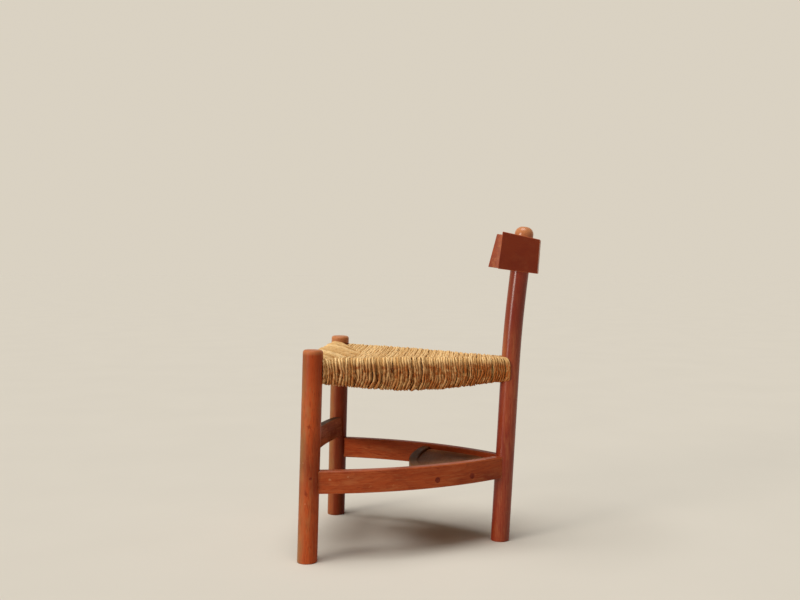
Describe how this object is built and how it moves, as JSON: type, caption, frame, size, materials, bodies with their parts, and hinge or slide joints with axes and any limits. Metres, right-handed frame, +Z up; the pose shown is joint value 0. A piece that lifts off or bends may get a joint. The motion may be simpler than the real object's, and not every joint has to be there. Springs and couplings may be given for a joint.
{
  "type": "rush-seat chair",
  "caption": "Wooden chair on round legs with one bent back post, a curved block backrest, a woven rush seat, bowed stretchers and a corner shelf below.",
  "frame": {"origin": "on the floor, under the middle of the chair's overall width and depth", "axes": "+Z up; -Y toward the chair's front; +X toward the sitter's left"},
  "size_m": [0.445, 0.5239, 0.7146],
  "materials": {
    "stained_wood": "red-brown stain under worn varnish",
    "dark_stained_wood": "dark red-brown stain under varnish",
    "brown_wood": "dull dark brown stain",
    "bare_wood": "plain planed wood",
    "rush": "twisted straw cord",
    "straw": "loose straw",
    "screw_steel": "plain"
  },
  "bodies": {
    "root": {"front_leg_left": "stained_wood", "front_leg_right": "stained_wood", "back_post": "stained_wood", "backrest": "dark_stained_wood", "front_stretcher": "stained_wood", "left_stretcher": "stained_wood", "right_stretcher": "stained_wood", "corner_shelf": "brown_wood", "shelf_lip": "brown_wood", "front_seat_rail": "bare_wood", "left_seat_rail": "bare_wood", "right_seat_rail": "bare_wood", "rush_seat": "rush", "seat_packing": "straw", "stretcher_pegs": "dark_stained_wood", "shelf_screws": "screw_steel", "shelf_plugs": "dark_stained_wood"}
  },
  "joints": []
}
